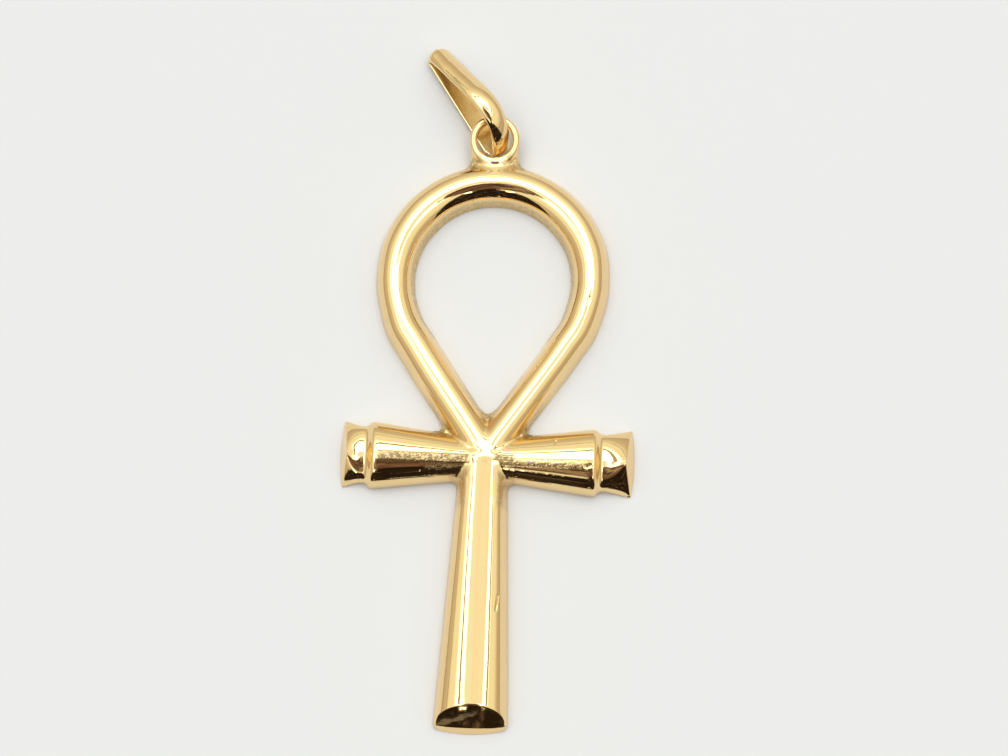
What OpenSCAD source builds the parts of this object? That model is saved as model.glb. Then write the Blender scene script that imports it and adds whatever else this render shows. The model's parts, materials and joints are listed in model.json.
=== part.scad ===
// Ankh pendant with a folded strip bail, lying face up on its flat back.
// Millimetres. +Z is the front, the stem runs along -Y and the crossbar along X.

/* [Cast section] */
// Height of the base wall under the domed front
wall_h = 0.6; // [0.4:0.05:0.8]
// How far the base wall leans inwards over its height
wall_draft = 0.2; // [0.1:0.05:0.25]

/* [Loop] */
// Radius of the ridge line round the top of the loop
loop_r = 6.78; // [6.7:0.02:6.84]
// Width of the band at its base
loop_w = 2.8; // [2.7:0.02:2.9]
// Height of the band's ridge above the back
loop_h = 1.85; // [1.7:0.05:2]
// Distance from the crossing to the middle of the round top
loop_y = 12.55; // [12.5:0.05:12.6]
// Angle of each straight leg to the loop's own axis
leg_angle = 34.6; // [34.2:0.1:35]
// Lean of the loop to the left, turned about the middle of its round top
loop_lean = 0.5; // [0:0.1:1]
// Sideways offset of the middle of the round top from the stem's axis
loop_x = 0.05; // [-0.1:0.01:0.1]
// Radius of the web of metal between the left leg and the left arm
left_web_r = 0.75; // [0.5:0.05:0.9]
// Radius of the web of metal between the right leg and the right arm
right_web_r = 0.25; // [0.2:0.05:0.4]
// Radius of the web of metal between the two legs
vee_r = 0.6; // [0.4:0.05:0.7]
// Height of the three webs above the back
web_h = 0.9; // [0.7:0.05:1]

/* [Crossbar] */
// Half width of each arm beside the crossing
arm_root_w = 1.34; // [1.3:0.01:1.4]
// Half width of each arm at its shoulder
arm_w = 2.38; // [2.34:0.01:2.42]
// Height of the ridge beside the crossing
arm_root_h = 1.6; // [1.5:0.05:1.7]
// Height of the ridge at the shoulder
arm_h = 2.15; // [2.05:0.05:2.2]
// Shoulder of the left arm, from the crossing
left_shoulder = 7.85; // [7.7:0.05:8]
// Reach of the left arm to its end face
left_reach = 9.92; // [9.8:0.02:10]
// Shoulder of the right arm, from the crossing
right_shoulder = 7.5; // [7.4:0.05:7.7]
// Reach of the right arm to its end face
right_reach = 10.24; // [10.2:0.02:10.4]
// How far each end face leans inwards over its height
end_face_draft = 0.7; // [0.5:0.05:0.8]
// Lift of the right arm's end, as a turn about the crossing
right_lean = 0.9; // [0.5:0.1:1.2]
// Height of the crossbar's axis over the crossing
bar_y = -0.04; // [-0.1:0.02:0.1]

/* [Stem] */
// Distance from the crossing to the tip of the stem
stem_l = 18.78; // [18.6:0.02:18.9]
// Half width of the stem under the crossbar
stem_top_w = 1.68; // [1.62:0.02:1.74]
// Half width of the stem at its foot
stem_foot_w = 2.66; // [2.6:0.02:2.7]
// Height of the ridge under the crossbar
stem_top_h = 1.8; // [1.7:0.05:1.9]
// Height of the ridge at the foot
stem_foot_h = 2.12; // [2:0.02:2.2]
// Slope of the cut facet at the foot
facet_angle = 45; // [40:1:50]
// Radius of the rounded foot, seen from above
foot_r = 9.1; // [8:0.1:11]
// Radius of the foot's two corners, seen from above
corner_r = 0.65; // [0.4:0.05:0.8]
// Turn of the foot, lower on the left
foot_lean = 1.5; // [0:0.1:2]
// How far the foot's end wall leans inwards over its height
foot_draft = 0.35; // [0.2:0.05:0.4]

/* [Eyelet] */
// Radius of the hole
hole_r = 1.22; // [1.2:0.01:1.25]
// Outer radius of the ring
ring_r = 1.76; // [1.72:0.02:1.8]
// Height of the ring's lower side above the back
ring_z = 0.85; // [0.85:0.05:0.95]
// Thickness of the ring, front to back
ring_t = 0.8; // [0.7:0.05:0.8]
// Distance from the crossing to the middle of the hole
ring_y = 22.34; // [22.2:0.02:22.4]
// Turn of the eyelet to the left, about the middle of the round top
ring_lean = 2; // [0:0.1:2.5]
// Radius of the fillets from the ring to the loop
neck_r = 1.6; // [1.4:0.05:1.8]

/* [Bail] */
// Length from the far fold to the bend inside the hole
bail_l = 9.05; // [8.9:0.05:9.1]
// Depth from the rear leaf to the shoulder of the front leaf
bail_depth = 3.3; // [3.2:0.05:3.35]
// Width of the strip at the far fold
strip_w = 2.06; // [1.96:0.02:2.1]
// Width of the strip inside the hole
strip_neck_w = 1.04; // [1:0.02:1.06]
// Thickness of the strip along its middle
strip_t = 0.24; // [0.22:0.01:0.26]
// How far the strip's outer face is domed across its width
strip_dome = 0.28; // [0.24:0.01:0.3]
// How far the strip's inner face is hollowed across its width
strip_hollow = 0.16; // [0.14:0.01:0.18]
// Roll of the bail about its own length, opening upwards on the left
bail_roll = 15; // [14:0.5:16]
// Direction of the bail on the surface, turned from +X
bail_heading = 127.5; // [125:0.5:130]
// How far the bail's inner bend lies beyond the middle of the hole
bail_slack = 0.98; // [0.95:0.01:1]
// Radius of the far fold
fold_r = 0.48; // [0.46:0.01:0.5]
// How far the middle of the far fold stands out beyond its corners
fold_nose = 0.28; // [0.2:0.02:0.3]
// Radius of the shoulder of the front leaf
shoulder_r = 1.8; // [1.7:0.05:1.85]
// Distance from the inner bend to the middle of the shoulder, along the bail
shoulder_x = 2.48; // [2.4:0.02:2.5]
// Radius of the bend inside the hole
inner_r = 0.64; // [0.62:0.01:0.66]

/* [Hidden] */
gold = [0.86, 0.66, 0.30];
$fn = 96;

// Facets along one domed section
dome_steps = 14;
// Exponents of the domes: 2 is an ellipse, more is flatter on top
round_dome = 2;
flat_dome = 2.3;
// Overlap by which one limb reaches into the next
lap = 0.4;
// The legs are a hair slimmer than the round top, and start this far inside it
leg_step = 0.01;
leg_lap = 0.1;
// The round edge of a web cuts this share of its radius short of the limbs, and so meets them at an angle
web_bite = 0.96;
// The working origin is the crossing, and this is the middle of the whole footprint seen from there
middle = [0.18, 5.12];

function power(v, e) = sign(v) * pow(abs(v), e);

// Half section of a limb as a closed outline: base wall, dome, base wall
function section(half_w, h, n = round_dome) = concat(
    [[-half_w, 0]],
    [for (i = [0 : dome_steps]) let (a = 180 - 180 * i / dome_steps)
        [(half_w - wall_draft) * power(cos(a), 2 / n), wall_h + (h - wall_h) * power(sin(a), 2 / n)]],
    [[half_w, 0]]);

// Solid through a list of outlines that all have the same number of points
module loft(outlines) {
    n = len(outlines[0]);
    last = len(outlines) - 1;
    sides = [for (k = [0 : last - 1], i = [0 : n - 1]) let (j = (i + 1) % n)
        each [[k * n + i, k * n + j, (k + 1) * n + j], [k * n + i, (k + 1) * n + j, (k + 1) * n + i]]];
    polyhedron(
        points = [for (o = outlines) each o],
        faces = concat([[for (i = [n - 1 : -1 : 0]) i]], sides, [[for (i = [0 : n - 1]) last * n + i]]));
}

// Loop: a round top and two straight legs that run to the crossing
module loop_band() {
    slim = section(loop_w / 2 - leg_step, loop_h - leg_step);
    leg_l = loop_r / tan(leg_angle) + lap;
    translate([0, loop_y, 0]) {
        rotate_extrude(angle = 180 + 2 * leg_angle, start = -leg_angle)
            translate([loop_r, 0]) polygon(section(loop_w / 2, loop_h));
        for (side = [-1, 1])
            translate([side * loop_r * cos(leg_angle), -loop_r * sin(leg_angle), 0])
                rotate([90, 0, -side * leg_angle]) translate([0, 0, -leg_lap])
                linear_extrude(leg_l + leg_lap) polygon(slim);
    }
}

// Web between a leg's outer side and the top side of an arm, rounded on its free edge
module web(shoulder, r) {
    rise = (arm_w - arm_root_w) / shoulder;
    over_arm = [-rise, 1] / norm([rise, 1]);
    over_leg = [cos(leg_angle), -sin(leg_angle)];
    corner = web_middle(rise, 0);
    free = web_middle(rise, r * web_bite);
    linear_extrude(web_h) difference() {
        polygon([corner - [lap, 2 * lap], free - (r + lap) * over_leg, free - r * over_leg, free,
            free - r * over_arm, free - (r + lap) * over_arm]);
        translate(free) circle(r);
    }
}
// Point at a distance r from both the leg and the arm
function web_middle(rise, r) = let (
    foot = arm_root_w + r * norm([rise, 1]),
    x = (loop_r + loop_w / 2 + r + (foot - loop_y) * sin(leg_angle)) / (cos(leg_angle) - rise * sin(leg_angle)))
    [x, foot + rise * x];

// Web between the two legs, rounded on its free edge
module vee() {
    y = loop_y - (loop_r - loop_w / 2 - vee_r * web_bite) / sin(leg_angle);
    linear_extrude(web_h) difference() {
        polygon([[0, y], [-vee_r * cos(leg_angle) - lap, y - vee_r * sin(leg_angle)],
            [0, y - vee_r / sin(leg_angle) - 2 * lap], [vee_r * cos(leg_angle) + lap, y - vee_r * sin(leg_angle)]]);
        translate([0, y]) circle(vee_r);
    }
}

// Eyelet: a rounded ring, with filleted flanks that run down to the loop
module eyelet() {
    // Radius at which the flanks meet the loop's dome
    reach = loop_r + loop_w * 0.38;
    gap = ring_y - loop_y;
    fillet_y = (gap * gap + pow(reach + neck_r, 2) - pow(ring_r + neck_r, 2)) / (2 * gap);
    fillet_x = sqrt(pow(reach + neck_r, 2) - fillet_y * fillet_y);
    neck_t = ring_t * 0.85;
    difference() {
        union() {
            translate([0, ring_y, ring_z + ring_t / 2]) rotate_extrude() intersection() {
                translate([(hole_r + ring_r) / 2, 0]) scale([ring_r - hole_r, ring_t * 1.06]) circle(d = 1.08);
                translate([0, -ring_t / 2]) square([ring_r, ring_t]);
            }
            translate([0, 0, ring_z + (ring_t - neck_t) / 2]) linear_extrude(neck_t) difference() {
                polygon([[0, ring_y], [-fillet_x, loop_y + fillet_y], [-fillet_x * 0.8, loop_y + reach * 0.9],
                    [fillet_x * 0.8, loop_y + reach * 0.9], [fillet_x, loop_y + fillet_y]]);
                for (side = [-1, 1]) translate([side * fillet_x, loop_y + fillet_y]) circle(neck_r);
            }
        }
        translate([0, ring_y, 0]) cylinder(r = hole_r, h = 3);
    }
}

// Arm: a cone laid on its side, a rounded shoulder, a waist and a flared end with a leaning face
// Columns: share of the way from shoulder to end face, half width, height, share of the face's lean
finial = [
    [0.00, 2.36, 2.15, 0.00],
    [0.08, 2.30, 2.09, 0.00],
    [0.18, 2.10, 1.84, 0.05],
    [0.32, 2.05, 1.78, 0.20],
    [0.55, 2.12, 1.86, 0.50],
    [0.80, 2.22, 2.00, 0.80],
    [1.00, 2.28, 2.12, 1.00]];
module arm(shoulder, reach) {
    stations = concat([[0, arm_root_w, arm_root_h, 0]],
        [for (row = finial) [shoulder + (reach - shoulder) * row[0],
            row[1] * arm_w / finial[0][1], row[2] * arm_h / finial[0][2], row[3]]]);
    loft([for (s = stations) [for (p = section(s[1], s[2]))
        [s[0] - s[3] * end_face_draft * p[1] / arm_h, p[0], p[1]]]]);
}

// Stem: a tapered dome, cut by a sloping facet above a rounded end wall
module stem() {
    over = 0.6;
    tip_w = stem_top_w + (stem_foot_w - stem_top_w) * stem_l / (stem_l + over);
    corner_x = tip_w - corner_r;
    corner_y = foot_r - sqrt(pow(foot_r - corner_r, 2) - corner_x * corner_x);
    cut = 4;
    difference() {
        loft([for (s = [[0, stem_top_w, stem_top_h], [stem_l + over, stem_foot_w, stem_foot_h]])
            [for (p = section(s[1], s[2], flat_dome)) [p[0], -s[0], p[1]]]]);
        translate([0, -stem_l, 0]) rotate(foot_lean) {
            translate([-cut, -cut, -1]) difference() {
                cube([2 * cut, cut + 1, cut]);
                translate([cut, cut + foot_r, 1 - foot_r / foot_draft * wall_h])
                    cylinder(r1 = 2 * foot_r, r2 = 0, h = 2 * foot_r / foot_draft * wall_h);
            }
            for (side = [-1, 1]) translate([side * corner_x, corner_y, -1]) difference() {
                translate([side * cut / 2 - cut / 2, -cut, 0]) cube([cut, cut, cut]);
                cylinder(r = corner_r, h = cut);
            }
            translate([0, foot_draft, wall_h]) rotate([facet_angle, 0, 0]) translate([-cut, -cut, 0])
                cube([2 * cut, 2 * cut, cut]);
        }
    }
}

// The cast body is one solid
module ankh() {
    color(gold) translate([-middle[0], -middle[1], 0]) union() {
        translate([loop_x, loop_y, 0]) rotate(loop_lean) translate([0, -loop_y, 0]) {
            loop_band();
            web(right_shoulder, right_web_r);
            mirror([1, 0, 0]) web(left_shoulder, left_web_r);
            vee();
        }
        translate([loop_x, loop_y, 0]) rotate(ring_lean) translate([0, -loop_y, 0]) eyelet();
        translate([0, bar_y, 0]) {
            rotate(right_lean) arm(right_shoulder, right_reach);
            mirror([1, 0, 0]) arm(left_shoulder, left_reach);
        }
        stem();
    }
}

// Bail: a domed strip carried round three bends, seen from its side
// Columns: middle of the bend along the bail, its height over the rear leaf, radius of the bend
bends = [
    [bail_l - bail_slack - fold_r, fold_r + 0.05, fold_r],
    [shoulder_x - bail_slack, bail_depth - shoulder_r, shoulder_r],
    [inner_r - bail_slack, inner_r, inner_r]];
bend_steps = 8;
leaf_steps = 5;
// Lengths over which the front and the rear leaf narrow towards the hole
front_narrowing = 4.4;
rear_narrowing = 2.6;
// Length over which the strip's corners fall back towards the far fold
nose_l = 2;
// Share of the half width at each point across the strip's outer and inner face
outer_shares = [-1, -0.75, -0.5, -0.25, 0, 0.25, 0.5, 0.75, 1];
inner_shares = [1, 0.5, 0, -0.5, -1];

function place(row) = [row[0], row[1]];
function wrap(i) = (i + len(bends)) % len(bends);
function smooth(x) = let (c = max(0, min(1, x))) c * c * (3 - 2 * c);
// Direction of the outward normal on the leaf from bend i to the next, counted upwards from bend 0
function leaf_normal(i) = let (
    way = place(bends[wrap(i + 1)]) - place(bends[wrap(i)]),
    turn = atan2(way[1], way[0]) - acos((bends[wrap(i)][2] - bends[wrap(i + 1)][2]) / norm(way)))
    turn < 0 ? turn + 360 : turn;
// Points of bend i with their inward normals
function bend(i) = let (
    first = leaf_normal(i - 1),
    last = leaf_normal(i),
    turn = last < first ? last + 360 - first : last - first)
    [for (k = [0 : bend_steps]) let (a = first + turn * k / bend_steps, out = [cos(a), sin(a)])
        [place(bends[i]) + bends[i][2] * out, -out]];
// Points along the straight leaf that follows bend i
function leaf(i) = let (start = bend(i)[bend_steps], end = bend(wrap(i + 1))[0])
    [for (k = [1 : leaf_steps]) let (share = k / (leaf_steps + 1))
        [start[0] + (end[0] - start[0]) * share, start[1]]];
// Half width of the strip at a distance along the bail from its inner bend
function half_width(along, narrowing) =
    (strip_neck_w + (strip_w - strip_neck_w) * smooth(along / narrowing)) / 2;
// Closed section of the strip: place along, across and up, from a point of the path
function strip_ring(spot, half_w) = let (
    at = spot[0],
    inward = spot[1],
    slim = half_w / strip_w * 2,
    nose = fold_nose * smooth((at[0] + bail_slack - bail_l + nose_l) / nose_l))
    concat(
        [for (k = outer_shares) let (q = at + inward * strip_dome * slim * k * k)
            [q[0] - nose * k * k, half_w * k, q[1]]],
        [for (k = inner_shares) let (q = at + inward * (strip_t + strip_hollow * slim * k * k))
            [q[0] - nose * k * k, half_w * k, q[1]]]);

module bail() {
    rings = [for (i = [0 : len(bends) - 1]) each concat(
        [for (s = bend(i)) strip_ring(s, half_width(s[0][0] + bail_slack, front_narrowing))],
        [for (s = leaf(i)) strip_ring(s, half_width(s[0][0] + bail_slack,
            i == len(bends) - 1 ? rear_narrowing : front_narrowing))])];
    m = len(rings[0]);
    n = len(rings);
    // Height that sets the lowest point of the rolled strip on the surface
    lift = -min([for (r = rings, q = r) q[1] * sin(bail_roll) + q[2] * cos(bail_roll)]);
    color(gold) translate([-middle[0], -middle[1], 0])
        translate([loop_x, loop_y, 0]) rotate(ring_lean) translate([0, ring_y - loop_y, lift])
        rotate(bail_heading - ring_lean) rotate([bail_roll, 0, 0])
        polyhedron(
            points = [for (r = rings) each r],
            faces = [for (i = [0 : n - 1], j = [0 : m - 1]) let (i2 = (i + 1) % n, j2 = (j + 1) % m)
                each [[i * m + j, i2 * m + j, i2 * m + j2], [i * m + j, i2 * m + j2, i * m + j2]]]);
}

ankh();
bail();
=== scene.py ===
"""Looks of a polished gold ankh pendant with a folded strip bail, lying face up on a pale surface."""

import json
import math
from types import SimpleNamespace

import bmesh
import bpy
import numpy as np
from mathutils import Matrix, Vector


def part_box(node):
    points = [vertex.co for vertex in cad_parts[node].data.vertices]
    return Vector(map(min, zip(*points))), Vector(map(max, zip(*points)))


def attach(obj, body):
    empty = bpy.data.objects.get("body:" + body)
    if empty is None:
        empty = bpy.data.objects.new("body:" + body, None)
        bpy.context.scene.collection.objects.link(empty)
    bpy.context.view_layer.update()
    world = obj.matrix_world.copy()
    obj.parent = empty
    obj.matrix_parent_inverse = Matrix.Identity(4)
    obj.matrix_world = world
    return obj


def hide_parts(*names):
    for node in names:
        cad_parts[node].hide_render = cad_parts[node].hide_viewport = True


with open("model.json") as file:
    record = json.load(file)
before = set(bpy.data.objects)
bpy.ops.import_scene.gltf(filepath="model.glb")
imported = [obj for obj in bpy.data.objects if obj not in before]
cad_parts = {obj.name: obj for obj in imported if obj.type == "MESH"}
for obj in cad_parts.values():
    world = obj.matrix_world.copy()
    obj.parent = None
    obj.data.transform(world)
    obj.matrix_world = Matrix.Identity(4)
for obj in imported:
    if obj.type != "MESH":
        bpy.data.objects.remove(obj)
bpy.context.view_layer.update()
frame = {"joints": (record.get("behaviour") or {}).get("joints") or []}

bl_info = {
    "name": "Ankh Pendant",
    "version": (1, 0, 0),
    "blender": (4, 5, 0),
    "location": "3D View > Sidebar > Pendant",
    "description": "A cast gold ankh with a domed front and a strip bail",
    "category": "Add Mesh",
}

MM = 1000.0
# Where crossbar and stem cross in the row frame: the origin of all shape functions
CROSSING = np.array([-0.00018, -0.00512, 0.0])
# Axis of the eyelet's hole, which the bail turns about
EYELET = np.array(frame["joints"][0]["pos_m"])


def length(name, description, default):
    """A size in metres, shown with the scene's unit."""
    return bpy.props.FloatProperty(name=name, description=description, default=default, unit="LENGTH", precision=6)


def angle(name, description, degrees):
    """An angle, given in degrees and kept in radians."""
    return bpy.props.FloatProperty(
        name=name, description=description, default=math.radians(degrees), subtype="ANGLE", unit="ROTATION"
    )


def colour(name, description, default):
    """A linear colour."""
    return bpy.props.FloatVectorProperty(
        name=name, description=description, default=default, size=3, min=0.0, max=1.0, subtype="COLOR"
    )


class PendantSection(bpy.types.PropertyGroup):
    """Section that every limb of the casting shares."""

    wall_height: length("Wall Height", "Height of the low wall under the domes", 0.0006)
    wall_draft: length("Wall Draft", "Inward lean of the low wall over its height", 0.0002)
    edge: length("Edge Softness", "Width over which polished edges are rounded", 0.00006)
    cell: length("Cell", "Spacing of the surface points", 0.000092)


class PendantLoop(bpy.types.PropertyGroup):
    """Loop of the ankh."""

    radius: length("Radius", "Radius of the ridge round the top", 0.00678)
    width: length("Width", "Width of the band at its base", 0.0028)
    height: length("Height", "Height of the ridge over the back", 0.00185)
    middle_x: length("Middle X", "Sideways place of the round top's middle", 0.00005)
    middle_y: length("Middle Y", "Distance from the crossing to the round top's middle", 0.01255)
    lean: angle("Lean", "Turn of the loop about its middle, to the left", 0.5)
    leg_angle: angle("Leg Angle", "Angle of the straight legs to the loop's axis", 34.6)
    left_web: length("Left Web", "Radius of the web between the left leg and arm", 0.0004)
    right_web: length("Right Web", "Radius of the web between the right leg and arm", 0.00025)
    vee: length("Vee", "Radius of the web between the legs", 0.0006)
    web_height: length("Web Height", "Height of the webs at their free edges", 0.0005)


class PendantCrossbar(bpy.types.PropertyGroup):
    """Crossbar with its two finials."""

    middle_y: length("Middle Y", "Place of the crossbar's axis over the crossing", -0.00004)
    root_width: length("Root Half Width", "Half width beside the crossing", 0.00134)
    width: length("Shoulder Half Width", "Half width at the shoulders", 0.00238)
    root_height: length("Root Height", "Height of the ridge beside the crossing", 0.0018)
    height: length("Shoulder Height", "Height of the ridge at the shoulders", 0.00215)
    left_shoulder: length("Left Shoulder", "Distance of the left shoulder", 0.00785)
    left_reach: length("Left Reach", "Distance of the left end face", 0.00992)
    right_shoulder: length("Right Shoulder", "Distance of the right shoulder", 0.00772)
    right_reach: length("Right Reach", "Distance of the right end face", 0.0104)
    draft: length("Draft", "Inward lean of the end faces over the arm's height", 0.00075)
    right_lean: angle("Right Lean", "Lift of the right arm's end", 0.9)
    left_slant: length("Left Slant", "Inward lean of the left shoulder", 0.0003)
    right_slant: length("Right Slant", "Inward lean of the right shoulder", 0.00002)
    bow: length("Bow", "How far the end faces stand out in the middle", 0.00022)


class PendantStem(bpy.types.PropertyGroup):
    """Stem with its cut foot."""

    stem_length: length("Length", "Distance from the crossing to the tip", 0.01878)
    top_width: length("Top Half Width", "Half width under the crossbar", 0.00168)
    foot_width: length("Foot Half Width", "Half width at the foot", 0.00266)
    top_height: length("Top Height", "Height of the ridge under the crossbar", 0.00192)
    foot_height: length("Foot Height", "Height of the ridge at the foot", 0.00212)
    foot_radius: length("Foot Radius", "Radius of the rounded foot, seen from above", 0.0091)
    foot_draft: length("Foot Draft", "Inward lean of the foot's wall", 0.00035)
    facet_angle: angle("Facet Angle", "Slope of the cut facet", 45.0)


class PendantEyelet(bpy.types.PropertyGroup):
    """Eyelet over the loop."""

    hole: length("Hole Radius", "Radius of the hole", 0.00122)
    ring: length("Ring Radius", "Outer radius of the ring", 0.00176)
    low: length("Ring Underside", "Height of the ring's underside", 0.00085)
    thickness: length("Thickness", "Thickness of the ring, front to back", 0.0008)
    fillet: length("Fillet", "Radius of the flanks that run to the loop", 0.0016)


class PendantBail(bpy.types.PropertyGroup):
    """Folded strip that the chain runs through."""

    bail_length: length("Length", "Length from the far fold to the inner bend", 0.00905)
    depth: length("Depth", "Depth from the rear leaf to the shoulder", 0.00325)
    width: length("Width", "Width of the strip at the far fold", 0.00173)
    neck_width: length("Neck Width", "Width of the strip in the hole", 0.0014)
    thickness: length("Thickness", "Thickness along the strip's middle", 0.00024)
    skew: length("Skew", "How far to the right the front leaf is set", 0.00048)
    dome: length("Dome", "How far the outer face is domed", 0.0003)
    hollow: length("Hollow", "How far the inner face is hollowed", 0.00034)
    roll: angle("Roll", "Roll of the bail about its own length", 12.0)
    twist: angle("Twist", "Extra turn of the front leaf, which lifts its left edge", 13.0)
    roll_height: length("Roll Height", "Height that the bail rolls about", 0.00125)
    side: length("Side", "How far the bail lies to the side in the hole", 0.0001)
    heading: angle("Heading", "Direction of the bail on the surface, from +X", 124.4)
    slack: length("Slack", "How far the inner bend lies beyond the hole's middle", 0.00098)
    fold: length("Fold Radius", "Radius of the far fold", 0.00048)
    nose: length("Nose", "How far the fold's middle stands out", 0.00028)
    shoulder: length("Shoulder Radius", "Radius of the front leaf's shoulder", 0.0032)
    shoulder_x: length("Shoulder Place", "Distance from the inner bend to the shoulder", 0.0033)
    trim: length("Trim", "How far the front leaf's left edge is cut back", 0.00008)
    inner: length("Inner Radius", "Radius of the bend inside the hole", 0.00064)


class PendantFinish(bpy.types.PropertyGroup):
    """Colours of the metal, the painted shade of its corners, and the surface under it."""

    gold: colour("Gold", "Colour of the polished metal", (0.92, 0.68, 0.345))
    # Painted shade: a darker, browner gold laid into corners and into the bail's bend by the ring, where shade and
    # light bounced between the parts fall
    crevice_shade_gold: colour("Deep Gold", "Colour of the metal in crevices", (0.72, 0.44, 0.16))
    skin: colour("Skin", "Colour of metal left rough from the mould", (0.27, 0.20, 0.10))
    inside: colour("Inside", "Colour of the bail's inner face", (0.93, 0.77, 0.47))
    floor: colour("Floor", "Colour of the surface", (0.73, 0.74, 0.785))
    mottle: colour("Mottle", "Colour of the surface's faint spots", (0.64, 0.64, 0.68))


def in_millimetres(group):
    """Sizes of a property group as plain numbers, lengths in millimetres and angles in radians."""
    out = SimpleNamespace()
    for key, prop in group.bl_rna.properties.items():
        if prop.type == "FLOAT" and not prop.is_array:
            value = getattr(group, key)
            setattr(out, key, value * MM if prop.unit == "LENGTH" else value)
    return out


# ---- shape functions, all in millimetres from the crossing ----


def smooth_min(a, b, width):
    """The smaller of two values, rounded where they differ by less than width."""
    near = np.maximum(width - np.abs(a - b), 0.0) / width
    return np.minimum(a, b) - near * near * width / 4.0


def soft_min(a, b, width):
    """The smaller of two values, evenly softened: -width * ln(exp(-a / width) + exp(-b / width))."""
    near = np.maximum(width * 12.0 - np.abs(a - b), 0.0) / width
    return np.minimum(a, b) - width * np.log1p(np.where(near > 0.0, np.exp(near - 12.0), 0.0))


def smooth_max(a, b, width):
    """The larger of two values, rounded where they differ by less than width."""
    return -smooth_min(-a, -b, width)


def smooth_step(x):
    """0 below 0, 1 above 1, and 3xx - 2xxx between them."""
    x = np.clip(x, 0.0, 1.0)
    return x * x * (3.0 - 2.0 * x)


def between(a, b, share):
    """Value that goes from a to b as share goes from 0 to 1."""
    return a + (b - a) * share


def ease(x, places, values):
    """Value at x that eases from each listed value to the next."""
    x = np.clip(x, places[0], places[-1])
    index = np.clip(np.searchsorted(places, x, side="right") - 1, 0, len(places) - 2)
    places, values = np.asarray(places, float), np.asarray(values, float)
    share = smooth_step((x - places[index]) / (places[index + 1] - places[index]))
    return between(values[index], values[index + 1], share)


def turned(x, y, middle_x, middle_y, turn):
    """Place seen from a middle, along axes that are turned to the left."""
    c, s = math.cos(turn), math.sin(turn)
    dx, dy = x - middle_x, y - middle_y
    return c * dx + s * dy, c * dy - s * dx


# Least value that a dome is divided by, and its least slope as a share of one over its height
TINY, LEAST_SLOPE = 1e-6, 0.35


def limb(across, z, half_width, height, power, sec):
    """Distance to a limb: a dome (across / a)^power + (rise / b)^power = 1 on a low leaning wall."""
    a = half_width - sec.wall_draft
    b = height - sec.wall_height
    u = np.abs(across) / a
    v = np.maximum(z - sec.wall_height, 0.0) / b
    g = np.maximum((u**power + v**power) ** (1.0 / power), TINY)
    slope = np.hypot(u ** (power - 1.0) / a, v ** (power - 1.0) / b) * g ** (1.0 - power)
    dome = (g - 1.0) / np.maximum(slope, LEAST_SLOPE / b)
    skirt = np.abs(across) - half_width + sec.wall_draft * z / sec.wall_height
    skirt = smooth_max(skirt, z - sec.wall_height, sec.edge)
    return smooth_min(dome, skirt, 2.0 * sec.edge)


# Measured unevenness of the band, against degrees round the loop from leg to leg
BAND_PLACES = [-85, -50, -35, -15, 0, 22, 45, 90, 135, 157, 180, 195, 215, 235, 265]
BAND_SHIFT = [0.12, 0.125, 0.06, -0.05, -0.03, 0.04, 0.02, 0.03, 0.045, 0.06, 0.045, 0.065, 0.2, 0.24, 0.2]
BAND_SPREAD = [-0.065, -0.065, -0.04, -0.03, -0.03, 0.04, 0.08, 0.13, 0.10, 0.04, -0.03, -0.05, 0.02, 0.05, 0.02]
DEGREES_PER_MM = 6.0
# Lap of the legs where they meet, and the value of what is certainly outside
LEG_LAP, FAR = 0.2, 5.0
# Rounding of inner corners: sharp, soft and wide
SHARP, SOFT, WIDE = 0.1, 0.25, 0.3
# Exponents of the domes: loop, arm above and below its ridge and at its end face, stem's top and foot
LOOP_POWER, ARM_POWER, LOWER_POWER, END_POWER, STEM_POWER, FOOT_POWER = 1.93, 1.74, 1.95, 1.14, 2.75, 2.05
# Arms: blend below the ridge, lean of the low wall, and how much of it is gone at the end face
RIDGE_BLEND, ARM_DRAFT, WALL_FADE = 0.3, 0.07, 0.9
# Finials: length of the cove, place of the waist, exponent of the flare, rounding at the shoulder
COVE, WAIST, FLARE_POWER, SHOULDER_ROUND = 0.5, 0.58, 1.35, 0.012
# Their half width and height at the waist and the end face, as shares of the shoulder's
WAIST_WIDTH, END_WIDTH, WAIST_HEIGHT, END_HEIGHT = 0.83, 0.965, 0.69, 0.84
# Stem: place and steepness of the blunt upper end, taper beyond the tip, swell beside the crossing
STEM_END, STEEPNESS, TAPER_LAP, STEM_SWELL, SWELL_LENGTH = -0.2, 1.5, 0.6, 0.06, 3.0
# Foot: turn in degrees, rounding of corners, lean of sides, what the wall takes off rounding and bow, length
FOOT_LEAN, FOOT_CORNER, FOOT_SIDE, CORNER_LOSS, BOW_LOSS, FOOT_LENGTH = 1.5, 0.5, 0.14, 0.7, 0.6, 2.0
# Cut facet: its share of the bow, its doming, and the distance of its middle from the tip
FACET_BOW, FACET_DOME, FACET_MIDDLE = 0.4, 0.022, 0.2
# Webs: lap under the limbs, fall towards the free edge, rise from it
WEB_LAP, WEB_SLOPE, WEB_RISE = 0.4, -0.75, 0.3
# How far the legs' edges stand off from the webs, and the length of the web between the legs
LEFT_LEG_EDGE, RIGHT_LEG_EDGE, VEE_EDGE, VEE_LENGTH = 0.2, 0.08, 0.19, 1.5
# Eyelet: rounding of its stock, rise of its ring towards the far side, rounding of its hole
RING_ROUND, RING_TILT, HOLE_ROUND = 0.26, 0.1, 0.12
# Its fill: place by the band's width, lap, height on the axis, fall to the flanks, depth under the ring
FILL_PLACE, FILL_LAP, FILL_TOP, FILL_FALL, FILL_DEPTH = 0.38, 0.6, 1.5, 0.75, 0.25
# Corner of stem and arms: rounding on the crossbar, gain below it, the gain's start and length
CORNER, CORNER_GAIN, CORNER_FROM, CORNER_LENGTH = 0.2, 0.5, -0.9, 0.8


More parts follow.
